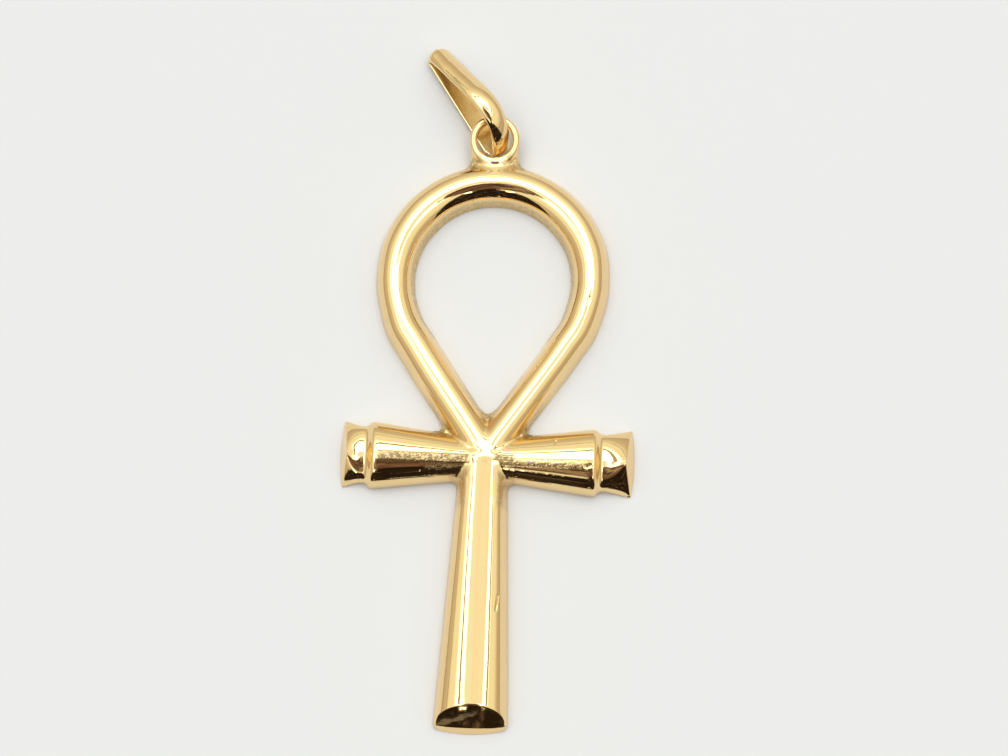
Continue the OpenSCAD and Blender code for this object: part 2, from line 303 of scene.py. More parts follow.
def loop_field(x, y, z, loop, sec):
    """Distance to the loop: a round top that runs on, tangent, into two straight legs."""
    u, v = turned(x, y, loop.middle_x, loop.middle_y, loop.lean)
    cl, sl = math.cos(loop.leg_angle), math.sin(loop.leg_angle)
    leg_place = 180.0 + math.degrees(loop.leg_angle)
    round_across = np.hypot(u, v) - loop.radius
    round_place = (np.degrees(np.arctan2(v, u)) + 90.0) % 360.0 - 90.0
    parts = []
    for side in (1.0, -1.0):
        down = -side * u * sl - v * cl
        leg_across = side * u * cl - v * sl - loop.radius
        on_leg = down > 0.0
        place = leg_place + down * DEGREES_PER_MM
        place = np.where(on_leg, 180.0 - place if side > 0 else place, round_place)
        across = np.where(on_leg, leg_across, round_across) - ease(place, BAND_PLACES, BAND_SHIFT)
        half = loop.width / 2.0 + ease(place, BAND_PLACES, BAND_SPREAD)
        end = loop.radius / math.tan(loop.leg_angle) + LEG_LAP
        across = np.hypot(across, np.maximum(down - end, 0.0))
        far = ~on_leg & (side * u < 0.0)
        parts.append(np.where(far, FAR, limb(across, z, half, loop.height, LOOP_POWER, sec)))
    return soft_min(parts[0], parts[1], SHARP)


def finial_share(past, flare, floor, end):
    """Width or height beyond the shoulder, as a share of the shoulder's.

    A cove falls to the waist, floor + (1 - floor) * (1 - t)^2, and a flare rises from there to the end face.
    """
    past = (past + np.sqrt(past * past + SHOULDER_ROUND)) / 2.0
    cove = (1.0 - floor) * np.clip(1.0 - past / COVE, 0.0, 1.0) ** 2
    return floor + cove + (end - floor) * flare


def arm_field(x, y, z, side, bar, sec):
    """Distance to an arm: a cone on its side, a shoulder, a waist and a flare with a leaning, bowed end face.

    The section is rounder below the ridge than above it, and nearly straight-sided at the end face. The low
    wall under the dome dies away towards that face.
    """
    lean = bar.right_lean if side > 0 else 0.0
    shoulder, reach = (bar.right_shoulder, bar.right_reach) if side > 0 else (bar.left_shoulder, bar.left_reach)
    slant = bar.right_slant if side > 0 else bar.left_slant
    along, across = turned(x, y, 0.0, bar.middle_y, lean)
    along = side * along
    cone = np.clip(along / shoulder, 0.0, 1.0)
    past = along - shoulder + slant * z / bar.height
    end_face = reach - bar.draft * z / bar.height - bar.bow * (across / bar.width) ** 2
    flare = np.clip((along - shoulder - WAIST) / (end_face - shoulder - WAIST), 0.0, 1.1) ** FLARE_POWER
    half = between(bar.root_width, bar.width, cone) * finial_share(past, flare, WAIST_WIDTH, END_WIDTH)
    high = between(bar.root_height, bar.height, cone) * finial_share(past, flare, WAIST_HEIGHT, END_HEIGHT)
    fade = 1.0 - WALL_FADE * np.minimum(flare, 1.0)
    wall = SimpleNamespace(wall_height=sec.wall_height * fade, wall_draft=ARM_DRAFT * fade, edge=sec.edge)
    power = between(ARM_POWER, LOWER_POWER, smooth_step(-across / RIDGE_BLEND))
    power = between(power, END_POWER, np.minimum(flare, 1.0))
    across = np.hypot(across, np.minimum(along, 0.0))
    body = limb(across, z, half, high, power, wall)
    tilt = math.atan2(bar.draft, bar.height)
    return smooth_max(body, (along - end_face) * math.cos(tilt), sec.edge)


def stem_field(x, y, z, stem, sec):
    """Distance to the stem: a tapered dome, flatter at its top, over a rounded foot with a sloping cut."""
    share = np.clip(-y / (stem.stem_length + TAPER_LAP), 0.0, 1.0)
    half = between(stem.top_width, stem.foot_width, share)
    high = between(stem.top_height, stem.foot_height, share) + STEM_SWELL * smooth_step(1.0 + y / SWELL_LENGTH)
    beyond = STEEPNESS * np.maximum(y - STEM_END, 0.0)
    across = (np.abs(x) ** 3 + beyond**3) ** (1.0 / 3.0)
    body = limb(across, z, half, high, between(STEM_POWER, FOOT_POWER, share), sec)
    fx, fy = turned(x, y, 0.0, -stem.stem_length, math.radians(FOOT_LEAN))
    wall = np.clip(z / sec.wall_height, 0.0, 1.0)
    bow = (1.0 - BOW_LOSS * wall) / (2.0 * stem.foot_radius)
    foot = fx * fx * bow + stem.foot_draft * wall - fy
    facet = (stem.foot_draft + FACET_BOW * fx * fx * bow - fy) * math.sin(stem.facet_angle)
    facet = facet + (z - sec.wall_height) * math.cos(stem.facet_angle)
    facet = facet + FACET_DOME * (fx * fx + (fy - FACET_MIDDLE) ** 2)
    side = np.abs(fx) - half + FOOT_SIDE * wall
    corner = FOOT_CORNER * (1.0 - CORNER_LOSS * wall)
    edge = np.hypot(np.maximum(side + corner, 0.0), np.maximum(foot + corner, 0.0)) - corner
    body = smooth_max(body, np.maximum(foot, np.where(fy < FOOT_LENGTH, edge, foot)), sec.edge)
    return smooth_max(body, facet, sec.edge)


def web_top(z, plate, edge, loop, sec):
    """A web's plate, cut by a top that rises from its free edge."""
    top = np.minimum(loop.web_height + WEB_SLOPE * edge, loop.web_height + WEB_RISE)
    return smooth_max(plate, (z - top) / math.hypot(1.0, WEB_SLOPE), 2.0 * sec.edge)


def web_field(x, y, z, side, radius, loop, bar, sec):
    """Distance to the low plate in the corner between a leg and an arm, outside a circle that touches both."""
    u, v = turned(x, y, loop.middle_x, loop.middle_y, loop.lean)
    u = side * u
    cl, sl = math.cos(loop.leg_angle), math.sin(loop.leg_angle)
    leg_edge = loop.radius + loop.width / 2.0 + (LEFT_LEG_EDGE if side < 0 else RIGHT_LEG_EDGE)
    off_leg = u * cl - v * sl - leg_edge
    shoulder = bar.right_shoulder if side > 0 else bar.left_shoulder
    rise = (bar.width - bar.root_width) / shoulder
    tall = math.hypot(1.0, rise)
    off_arm = (v + loop.middle_y - bar.root_width - rise * u) / tall
    along_leg = np.array([sl, cl])
    base_y = (bar.root_width - loop.middle_y + rise * leg_edge / cl) / (1.0 - rise * sl / cl)
    corner = np.array([(leg_edge + base_y * sl) / cl, base_y])
    spread = (1.0 - (-sl - rise * cl) / tall) / ((cl - rise * sl) / tall)
    free = corner + radius * np.array([cl, -sl]) + along_leg * radius * spread
    out = (free - corner) / np.linalg.norm(free - corner)
    touch = free - radius * np.array([cl, -sl])
    chord = (u - touch[0]) * out[0] + (v - touch[1]) * out[1]
    edge = radius - np.hypot(u - free[0], v - free[1])
    plate = np.maximum(np.maximum(edge, chord), np.maximum(-WEB_LAP - off_leg, -WEB_LAP - off_arm))
    return web_top(z, plate, edge, loop, sec)


def vee_field(x, y, z, loop, sec):
    """Distance to the low plate between the legs, round on its free edge."""
    u, v = turned(x, y, loop.middle_x, loop.middle_y, loop.lean)
    sl = math.sin(loop.leg_angle)
    free = -(loop.radius - loop.width / 2.0 + VEE_EDGE - loop.vee) / sl
    edge = loop.vee - np.hypot(u, v - free)
    plate = np.maximum(edge, v - free + loop.vee * sl)
    plate = np.maximum(plate, np.maximum(np.abs(u) - loop.vee, free - VEE_LENGTH - v))
    return web_top(z, plate, edge, loop, sec)


def eyelet_field(x, y, z, eye, loop):
    """Distance to the rounded ring and to the uneven fill that runs down from it to the loop."""
    ex, ey = (EYELET - CROSSING)[:2] * MM
    gap = math.hypot(ex - loop.middle_x, ey - loop.middle_y)
    lean = math.atan2(loop.middle_x - ex, ey - loop.middle_y)
    u, v = turned(x, y, loop.middle_x, loop.middle_y, lean)
    level = eye.low + eye.thickness / 2.0
    radial = np.hypot(u, v - gap)
    stock, half = (eye.ring - eye.hole) / 2.0, eye.thickness / 2.0
    a = np.abs(radial - eye.hole - stock) - (stock - RING_ROUND)
    b = np.abs(z - level - RING_TILT * (v - gap)) - (half - RING_ROUND)
    ring = np.hypot(np.maximum(a, 0.0), np.maximum(b, 0.0)) + np.minimum(np.maximum(a, b), 0.0) - RING_ROUND
    # the fill's flanks are circles that touch the ring and the loop
    reach = loop.radius + loop.width * FILL_PLACE
    mid_y = (gap * gap + (reach + eye.fillet) ** 2 - (eye.ring + eye.fillet) ** 2) / (2.0 * gap)
    mid_x = math.sqrt((reach + eye.fillet) ** 2 - mid_y**2)
    touch_x, touch_y = mid_x * reach / (reach + eye.fillet), mid_y * reach / (reach + eye.fillet)
    flank = mid_x - np.sqrt(np.maximum(eye.fillet**2 - (v - mid_y) ** 2, 0.0))
    flank = np.where(v < touch_y, touch_x, flank)
    ring_touch = gap - (gap - mid_y) * eye.ring / (eye.ring + eye.fillet)
    inner = reach - FILL_LAP - np.hypot(u, np.maximum(v, 0.0))
    plate = np.maximum(np.abs(u) - flank, np.maximum(v - ring_touch, inner))
    top = FILL_TOP - FILL_FALL * smooth_step(np.abs(u) / touch_x)
    plate = smooth_max(plate, np.maximum(z - top, eye.low - FILL_DEPTH - z), SOFT)
    return smooth_max(smooth_min(ring, plate, SOFT), eye.hole - radial, HOLE_ROUND)


# Small dents and scratches left on the casting: place, half length, turn from +X in degrees, radius, depth
# All die away over the lowest part of the casting, which starts at DENTS_FROM
DENTS_FROM = 0.3
DENTS = [
    (7.45, 15.95, 0.18, -60.0, 0.10, 0.05),
    (6.75, 11.2, 0.16, 80.0, 0.09, 0.05),
    (1.45, -9.9, 0.5, 83.0, 0.07, 0.035),
    (-2.6, -15.4, 0.05, 0.0, 0.10, 0.04),
    (4.85, 1.25, 0.16, 80.0, 0.07, 0.03),
    (7.2, -0.4, 0.12, 20.0, 0.13, 0.06),
    (-5.2, -1.25, 0.9, 8.0, 0.07, 0.02),
]


def dent_depth(x, y):
    """Depth of the dents: each is depth * exp(-(d / radius)^2), d being the distance to its short line."""
    total = 0.0
    for dent_x, dent_y, half, turn, radius, depth in DENTS:
        along, across = turned(x, y, dent_x, dent_y, math.radians(turn))
        off = np.hypot(np.maximum(np.abs(along) - half, 0.0), across)
        total = total + depth * np.exp(-((off / radius) ** 2))
    return total


def limbs(x, y, z, size):
    """Distances to the loop, the stem, the right arm, the left arm and the eyelet."""
    sec = size.section
    arms = [arm_field(x, y, z, side, size.crossbar, sec) for side in (1.0, -1.0)]
    loop, stem = loop_field(x, y, z, size.loop, sec), stem_field(x, y, z, size.stem, sec)
    return [loop, stem, *arms, eyelet_field(x, y, z, size.eyelet, size.loop)]


def body_field(x, y, z, size):
    """Smooth minimum of the limbs' distances: nought on the skin of the casting and negative inside it."""
    sec = size.section
    loop, stem, right, left, eyelet = limbs(x, y, z, size)
    corner = CORNER + CORNER_GAIN * smooth_step((CORNER_FROM - y) / CORNER_LENGTH)
    skin = smooth_min(soft_min(loop, smooth_min(right, left, WIDE), SHARP), stem, corner)
    for side, radius in ((1.0, size.loop.right_web), (-1.0, size.loop.left_web)):
        skin = smooth_min(skin, web_field(x, y, z, side, radius, size.loop, size.crossbar, sec), SOFT)
    skin = smooth_min(skin, vee_field(x, y, z, size.loop, sec), SOFT)
    skin = smooth_min(skin, eyelet, WIDE)
    skin = skin + dent_depth(x, y) * smooth_step((z - DENTS_FROM) / DENTS_FROM)
    return smooth_max(skin, -z, sec.edge)


def value_and_slope(field, points, step=0.006):
    """A field's value and gradient at rows of points, from the four corners of a small tetrahedron."""
    value, slope = 0.0, np.zeros_like(points)
    for corner in np.array([[1, 1, 1], [1, -1, -1], [-1, 1, -1], [-1, -1, 1]]):
        at = points + corner * step
        here = field(at[:, 0], at[:, 1], at[:, 2])
        value = value + here / 4.0
        slope += here[:, None] * corner / (4.0 * step)
    return value, slope


# Fine cells along each side of a coarse block
BLOCK = 4


def surface_net(field, low, high, cell):
    """Closed quad mesh where a field is nought, with one point for each cell that the surface passes through.

    A point starts at the mean of its cell's edge crossings and takes Newton steps along the gradient.
    Coarse blocks far from the surface keep the sign of their middle.
    """
    blocks = np.ceil((high - low) / (cell * BLOCK)).astype(int)
    middles = [lo + (np.arange(n) + 0.5) * cell * BLOCK for lo, n in zip(low, blocks)]
    coarse = np.kron(field(*np.ix_(*middles)), np.ones((BLOCK, BLOCK, BLOCK)))
    axes = [lo + (np.arange(n * BLOCK) + 0.5) * cell for lo, n in zip(low, blocks)]
    values = np.where(coarse < 0.0, -FAR, FAR)
    ni, nj, nk = np.nonzero(np.abs(coarse) < cell * BLOCK * 1.8)
    values[ni, nj, nk] = field(axes[0][ni], axes[1][nj], axes[2][nk])
    inside = values < 0.0
    nx, ny, nz = inside.shape
    corner_sum = np.zeros((nx - 1, ny - 1, nz - 1), np.int8)
    offsets = [(i, j, k) for i in (0, 1) for j in (0, 1) for k in (0, 1)]
    for i, j, k in offsets:
        corner_sum += inside[i : nx - 1 + i, j : ny - 1 + j, k : nz - 1 + k]
    ci, cj, ck = np.nonzero((corner_sum > 0) & (corner_sum < 8))
    number = np.full((nx - 1, ny - 1, nz - 1), -1, np.int32)
    number[ci, cj, ck] = np.arange(len(ci))
    corners = {o: values[ci + o[0], cj + o[1], ck + o[2]] for o in offsets}
    total, count = np.zeros((len(ci), 3)), np.zeros(len(ci))
    for o in offsets:
        for axis in range(3):
            if o[axis]:
                continue
            end = tuple(1 if n == axis else o[n] for n in range(3))
            a, b = corners[o], corners[end]
            cross = (a < 0.0) != (b < 0.0)
            point = np.tile(np.array(o, float), (len(ci), 1))
            point[:, axis] = np.where(cross, a / np.where(cross, a - b, 1.0), 0.0)
            total += point * cross[:, None]
            count += cross
    points = (np.stack([ci, cj, ck], 1) + total / count[:, None]) * cell + np.array([ax[0] for ax in axes])
    for _ in range(3):
        value, slope = value_and_slope(field, points)
        step = value[:, None] * slope / np.maximum((slope**2).sum(1), 0.05)[:, None]
        far = np.linalg.norm(step, axis=1)[:, None]
        points -= step * np.minimum(1.0, 0.4 * cell / np.maximum(far, 1e-12))
    quads, unit = [], np.eye(3, dtype=int)
    for axis, b, c in ((0, 1, 2), (1, 2, 0), (2, 0, 1)):
        first, second = [slice(1, -1)] * 3, [slice(1, -1)] * 3
        first[axis], second[axis] = slice(0, -1), slice(1, None)
        low_in, high_in = inside[tuple(first)], inside[tuple(second)]
        where = np.nonzero(low_in != high_in)
        around = [np.stack(where, 1) + i * unit[b] + j * unit[c] for i, j in ((0, 0), (1, 0), (1, 1), (0, 1))]
        ring = np.stack([number[tuple(at.T)] for at in around], 1)
        entering = ~low_in[where]
        ring[entering] = ring[entering][:, ::-1]
        quads.append(ring)
    return points, np.concatenate(quads)


def mesh_piece(name, points, faces):
    """A linked object whose mesh holds points in metres, in the row frame."""
    mesh = bpy.data.meshes.new(name)
    mesh.from_pydata(points.tolist(), [], faces.tolist())
    mesh.validate()
    piece = bpy.data.objects.new(name, mesh)
    bpy.context.scene.collection.objects.link(piece)
    return piece


def join_flat_back(mesh):
    """Joins the many flat faces of the back, which all lie on the surface, into large ones."""
    work = bmesh.new()
    work.from_mesh(mesh)
    flat = [v for v in work.verts if abs(v.co.z) < 1e-8]
    lines = [e for e in work.edges if abs(e.verts[0].co.z) < 1e-8 and abs(e.verts[1].co.z) < 1e-8]
    bmesh.ops.dissolve_limit(work, angle_limit=math.radians(0.1), verts=flat, edges=lines)
    work.to_mesh(mesh)
    work.free()


def shade_from_field(mesh, field):
    """Smooth shading whose normals are the field's own gradient, so reflections run evenly."""
    points = np.empty(len(mesh.vertices) * 3)
    mesh.vertices.foreach_get("co", points)
    points = (points.reshape(-1, 3) - CROSSING) * MM
    grad = value_and_slope(field, points, 0.01)[1]
    grad /= np.maximum(np.linalg.norm(grad, axis=1), 1e-9)[:, None]
    mesh.polygons.foreach_set("use_smooth", np.ones(len(mesh.polygons), bool))
    mesh.normals_split_custom_set_from_vertices(grad.tolist())
    return points


# Distance over which a corner's shade fades, and the height near the ridges where it ends
HEMMED, CLEAR = 0.9, 1.75


def crevice_depth(points, size):
    """How closely a point is hemmed in by two limbs at once, from 0 in the open to 1 in a corner; it sets the
    painted shade and the extra roughness there.
    """
    x, y, z = points.T
    second = np.sort(np.array(limbs(x, y, z, size)), axis=0)[1]
    return smooth_step(1.0 - second / HEMMED) * smooth_step((CLEAR - z) / HEMMED)


def window(value, low, high, soft):
    """1 between low and high, falling to 0 over soft outside them."""
    return smooth_step((value - low) / soft + 1.0) * smooth_step((high - value) / soft + 1.0)


def rough_share(points, size):
    """How much of the cast skin the polishing left, from 0 to 1.

    It stays under the crossbar's ridge, along the loop's inner foot, in the webs, on the eyelet's fill and
    beside the stem's top. Each place is a share and the windows that it is multiplied by.
    """
    x, y, z = points.T
    left, right, off = np.maximum(-x, 0.0), np.maximum(x, 0.0), np.abs(x)
    loop = size.loop
    inner = loop.radius - loop.width / 2.0 - np.hypot(x - loop.middle_x, y - loop.middle_y)
    below_eye = y - (EYELET - CROSSING)[1] * MM
    places = [
        (1.0, (y, -0.42, 0.05, 0.12), (left, 1.1, 7.0, 0.4)),
        (1.0, (y, -0.12, 0.1, 0.1), (right, 0.9, 2.0, 0.3)),
        (0.4, (y, -0.5, -0.2, 0.12), (right, 1.2, 7.2, 0.5)),
        (0.3, (y, -1.3, -0.6, 0.2), (left, 1.2, 3.5, 0.8)),
        (0.45, (inner, -0.3, 0.3, 0.15), (z, 0.0, 0.8, 0.5)),
        (0.5, (y, 1.3, 3.8, 2.5), (off, 0.0, 3.4, 1.2), (z, 0.0, 0.8, 0.5)),
        (0.6, (below_eye, -3.2, -1.5, 0.2), (off, 0.0, 1.8, 0.4), (z, 0.0, 1.15, 0.3)),
        (0.25, (y, -3.2, -1.2, 0.5), (off, 1.1, 2.2, 0.15)),
    ]
    return np.max([share * math.prod(window(*limits) for limits in windows) for share, *windows in places], axis=0)


# ---- bail ----

# Dome of the rear leaf as a share of the front leaf's, and the height over which the front leaf begins
REAR_CURL, FRONT_FROM = 0.3, 1.1
# Distances from the hole over which the rear leaf and the front leaf reach their width
REAR_WIDENS, FRONT_WIDENS = 1.0, 4.6
# Exponents that square the section's sides off: across the strip and through it
ACROSS_POWER, THROUGH_POWER = 0.3, 0.35
# Share of the front leaf's twist that is there from the hole on, and where the rest comes in
FIRST_TWIST, TWIST_FROM, TWIST_LENGTH = 0.2, 1.6, 3.4


def bail_path(bail, bend_steps=26, leaf_steps=30):
    """Side outline of the bail as rows of place and inward normal: three bends and their common tangents."""
    bends = np.array(
        [
            [bail.bail_length - bail.slack - bail.fold, bail.fold + 0.05, bail.fold],
            [bail.shoulder_x - bail.slack, bail.depth - bail.shoulder, bail.shoulder],
            [bail.inner - bail.slack, bail.inner, bail.inner],
        ]
    )
    way = np.roll(bends, -1, 0) - bends
    normal = np.arctan2(way[:, 1], way[:, 0]) - np.arccos(-way[:, 2] / np.hypot(way[:, 0], way[:, 1]))
    normal %= 2.0 * math.pi
    pieces, leaf_number = [], []
    for i in range(3):
        first, last = normal[i - 1], normal[i]
        last += 2.0 * math.pi if last < first else 0.0
        turn = np.linspace(first, last, bend_steps)
        out = np.stack([np.cos(turn), np.sin(turn)], 1)
        pieces.append(np.hstack([bends[i, :2] + bends[i, 2] * out, -out]))
        leaf_number.append(np.full(bend_steps, -1))
        start = bends[i, :2] + bends[i, 2] * out[-1]
        nxt = (i + 1) % 3
        end = bends[nxt, :2] + bends[nxt, 2] * out[-1]
        share = np.linspace(0.0, 1.0, leaf_steps + 2)[1:-1, None]
        pieces.append(np.hstack([between(start, end, share), np.tile(-out[-1], (leaf_steps, 1))]))
        leaf_number.append(np.full(leaf_steps, i))
    return np.vstack(pieces), np.concatenate(leaf_number)


def bail_surface(bail, around=44):
    """Points of the folded strip in metres: a thin lens-edged section carried round the side outline.

    Across the strip runs k = cos(phi)^0.3, through it s = sin(phi)^0.35, between a domed outer and a
    hollowed inner face, both flatter on the rear leaf. The front leaf's left edge is cut back, the leaf is
    set askew to the right in proportion to its height, and it is twisted, z + y * tan(twist). The whole is
    then rolled about its length, let down onto the surface and turned to its heading.
    """
    path, leaf = bail_path(bail)
    along = path[:, 0] + bail.slack
    narrowing = np.where(leaf == 2, REAR_WIDENS, FRONT_WIDENS)
    half = between(bail.neck_width, bail.width, smooth_step(along / narrowing)) / 2.0
    slim = half / bail.width * 2.0
    nose = bail.nose * smooth_step((along - bail.bail_length + 2.0) / 2.0)
    front = smooth_step(path[:, 1:2] / FRONT_FROM)
    phi = np.linspace(0.0, 2.0 * math.pi, around, endpoint=False)
    k = np.sign(np.cos(phi)) * np.abs(np.cos(phi)) ** ACROSS_POWER
    s = np.sign(np.sin(phi)) * np.abs(np.sin(phi)) ** THROUGH_POWER
    curl = slim[:, None] * between(REAR_CURL, 1.0, front) * k**2
    outer = bail.dome * curl
    inner = bail.thickness + bail.hollow * curl
    depth = (outer + inner) / 2.0 - s * (inner - outer) / 2.0
    x = path[:, 0:1] + path[:, 2:3] * depth - nose[:, None] * k**2
    z = path[:, 1:2] + path[:, 3:4] * depth
    askew = bail.skew * path[:, 1:2] / bail.depth * (1.0 - along[:, None] / bail.bail_length)
    y = half[:, None] * k - bail.trim * front * np.maximum(k, 0.0) - askew
    lift = front * between(FIRST_TWIST, 1.0, smooth_step((along[:, None] - TWIST_FROM) / TWIST_LENGTH))
    z = z + y * math.tan(bail.twist) * lift
    y, z = turned(y, z, 0.0, bail.roll_height, -bail.roll)
    x, y = turned(x, y - bail.side, 0.0, 0.0, -bail.heading)
    points = np.stack([x, y, z - z.min()], -1).reshape(-1, 3) / MM
    points[:, :2] += EYELET[:2]
    n, m = x.shape
    i, j = np.meshgrid(np.arange(n), np.arange(m), indexing="ij")
    i2, j2 = (i + 1) % n, (j + 1) % m
    faces = np.stack([i * m + j, i2 * m + j, i2 * m + j2, i * m + j2], -1).reshape(-1, 4)
    # the bend by the ring is as little polished as the inner face, and carries a little painted shade, a darker
    # gold where it runs into the ring
    bend = np.repeat(smooth_step((0.8 - along) / 0.5), m)
    inner_skin = np.maximum(np.tile(smooth_step((0.2 - np.sin(phi)) / 0.4), n), bend) * 0.9
    # painted shade that grows towards the bend inside the ring, which also roughens it a little
    fold_depth = np.repeat(smooth_step((1.6 - along) / 1.6), m) * 0.3
    return points, faces, fold_depth, inner_skin


# ---- materials ----


class Nodes:
    """Short calls that add nodes to a tree and link them."""

    def __init__(self, tree):
        self.tree = tree
        tree.nodes.clear()

    def add(self, kind, inputs=(), **settings):
        node = self.tree.nodes.new(kind)
        for key, value in settings.items():
            setattr(node, key, value)
        for key, value in dict(inputs).items():
            socket = node.inputs[key]
            if isinstance(value, bpy.types.NodeSocket):
                self.tree.links.new(value, socket)
            else:
                socket.default_value = value
        return node

    def math(self, operation, *values):
        return self.add("ShaderNodeMath", enumerate(values), operation=operation).outputs[0]

    def plus(self, first, *others):
        """Sum of all values."""
        for value in others:
            first = self.math("ADD", first, value)
        return first

    def times(self, a, b):
        """Product of two values."""
        return self.math("MULTIPLY", a, b)

    def apart(self, a, b):
        """Distance between two values."""
        return self.math("ABSOLUTE", self.math("SUBTRACT", a, b))

    def step(self, value, low, high, to_low=0.0, to_high=1.0):
        """Smooth step of a value from low to high."""
        inputs = {"Value": value, "From Min": low, "From Max": high, "To Min": to_low, "To Max": to_high}
        return self.add("ShaderNodeMapRange", inputs, interpolation_type="SMOOTHSTEP").outputs["Result"]

    def mix(self, share, a, b):
        """Colour between a and b."""
        node = self.add("ShaderNodeMix", data_type="RGBA")
        for index, value in ((0, share), (6, a), (7, b)):
            if isinstance(value, bpy.types.NodeSocket):
                self.tree.links.new(value, node.inputs[index])
            else:
                node.inputs[index].default_value = (*value, 1.0) if index > 5 else value
        return node.outputs[2]

    def noise(self, vector, scale, detail=3.0, rough=0.5):
        """Value of a noise between 0 and 1."""
        inputs = {"Vector": vector, "Scale": scale, "Detail": detail, "Roughness": rough}
        return self.add("ShaderNodeTexNoise", inputs).outputs["Fac"]

    def finish(self, kind, shader):
        """Ends the tree with an output of the given kind."""
        self.tree.links.new(shader.outputs[0], self.add(kind).inputs[0])


# Scales of the noises, per metre of metal or floor
WAVE_SCALE, GRAIN_SCALE, HAIR_SCALE, MOTTLE_SCALE = 900.0, 3600.0, 900.0, 60.0
# Depths of the two bumps, in metres
WAVE_DEPTH, GRAIN_DEPTH = 0.00002, 0.00008
# What rubbed metal keeps of the gold's red, green and blue
WORN = (0.94, 0.9, 0.8)


def handling_marks():
    """Node group of fine marks on polished metal, from Object coordinates in metres.

    Wave: slow waviness left by the polishing wheel. Grain: cast roughness. Hairlines: fine stretched
    scratches. All three vary between 0 and 1.
    """
    group = bpy.data.node_groups.new("handling_marks", "ShaderNodeTree")
    nodes = Nodes(group)
    sockets = [("Vector", "INPUT", "Vector"), ("Wave Scale", "INPUT", "Float"), ("Grain Scale", "INPUT", "Float")]
    sockets += [(name, "OUTPUT", "Float") for name in ("Wave", "Grain", "Hairlines")]
    for name, way, kind in sockets:
        group.interface.new_socket(name=name, in_out=way, socket_type="NodeSocket" + kind)
    vector, wave_scale, grain_scale = nodes.add("NodeGroupInput").outputs[:3]
    stretch = {"Vector": vector, "Rotation": (0.0, 0.0, 0.5), "Scale": (1.0, 14.0, 6.0)}
    marks = {
        "Wave": nodes.noise(vector, wave_scale, 1.5, 0.4),
        "Grain": nodes.noise(vector, grain_scale, 4.0, 0.65),
        "Hairlines": nodes.noise(nodes.add("ShaderNodeMapping", stretch).outputs[0], HAIR_SCALE, 2.0, 0.6),
    }
    nodes.add("NodeGroupOutput", marks)
    return group


def gold_material(name, finish, attributes, dull, coarse):
    """Polished gold with fine marks, with painted shade that deepens its colour in corners, and rough where it is
    unpolished.

    The attributes say how deep in a corner and how unpolished a point is. Unpolished metal has the colour
    dull and a grain that is coarse, from 0 to 1.
    """
    material = bpy.data.materials.new(name)
    material.use_nodes = True
    nodes = Nodes(material.node_tree)
    marks = bpy.data.node_groups.get("handling_marks") or handling_marks()
    place = nodes.add("ShaderNodeTexCoord").outputs["Object"]
    inputs = {"Vector": place, "Wave Scale": WAVE_SCALE, "Grain Scale": GRAIN_SCALE}
    mark = nodes.add("ShaderNodeGroup", inputs, node_tree=marks).outputs
    wave, grain, hair = mark["Wave"], mark["Grain"], mark["Hairlines"]
    corner, skin = (nodes.add("ShaderNodeAttribute", attribute_name=key).outputs["Fac"] for key in attributes)
    # colour
    worn = [share * tone for share, tone in zip(WORN, finish.gold)]
    base = nodes.mix(nodes.times(nodes.step(wave, 0.35, 0.75), 0.12), finish.gold, worn)
    # painted shade: corners, and the bail's bend by the ring, turn a darker, browner gold
    base = nodes.mix(nodes.times(corner, 0.35), base, finish.crevice_shade_gold)
    pits = nodes.step(nodes.step(grain, 0.35, 0.65), 0.9, 0.1, 1.0 - 0.55 * coarse, 1.0)
    base = nodes.mix(nodes.times(skin, pits), base, dull)
    # roughness
    rough = nodes.plus(nodes.step(hair, 0.55, 0.8, 0.03, 0.07), nodes.times(corner, 0.10), nodes.times(skin, 0.22))
    # waves under the grain, which is strongest where the polishing didn't reach
    uneven = nodes.plus(nodes.times(corner, 0.4), nodes.times(skin, 1.6 * coarse), 0.02)
    waves = {"Strength": 0.5, "Distance": WAVE_DEPTH, "Height": wave}
    pitted = {"Strength": 0.6, "Distance": GRAIN_DEPTH, "Height": nodes.times(grain, uneven)}
    pitted["Normal"] = nodes.add("ShaderNodeBump", waves).outputs[0]
    bump = nodes.add("ShaderNodeBump", pitted)
    surface = {"Base Color": base, "Metallic": 1.0, "Roughness": rough, "Normal": bump.outputs[0]}
    shader = nodes.add("ShaderNodeBsdfPrincipled", surface)
    nodes.finish("ShaderNodeOutputMaterial", shader)
    return material


def floor_material(finish):
    """Matt pale surface with a hardly seen mottle."""
    material = bpy.data.materials.new("pale_surface")
    material.use_nodes = True
    nodes = Nodes(material.node_tree)
    mottle = nodes.noise(nodes.add("ShaderNodeTexCoord").outputs["Object"], MOTTLE_SCALE)
    base = nodes.mix(nodes.times(mottle, 0.06), finish.floor, finish.mottle)
    shader = nodes.add("ShaderNodeBsdfPrincipled", {"Base Color": base, "Roughness": 0.75})
    nodes.finish("ShaderNodeOutputMaterial", shader)
    return material


# ---- operators ----


def sizes():
    """All sizes in millimetres, those of each property group under its name."""
    scene = bpy.context.scene
    return SimpleNamespace(**{name: in_millimetres(getattr(scene, PREFIX + name)) for name in GROUPS})


def give(mesh, **values):
    """Writes one value for each point of a mesh under each name."""
    for name, numbers in values.items():
        attribute = mesh.attributes.new(name, "FLOAT", "POINT")
        attribute.data.foreach_set("value", numbers.astype(np.float32))


QUICK_CELL, MARGIN, BACK = 1.6, 2.37, 0.02


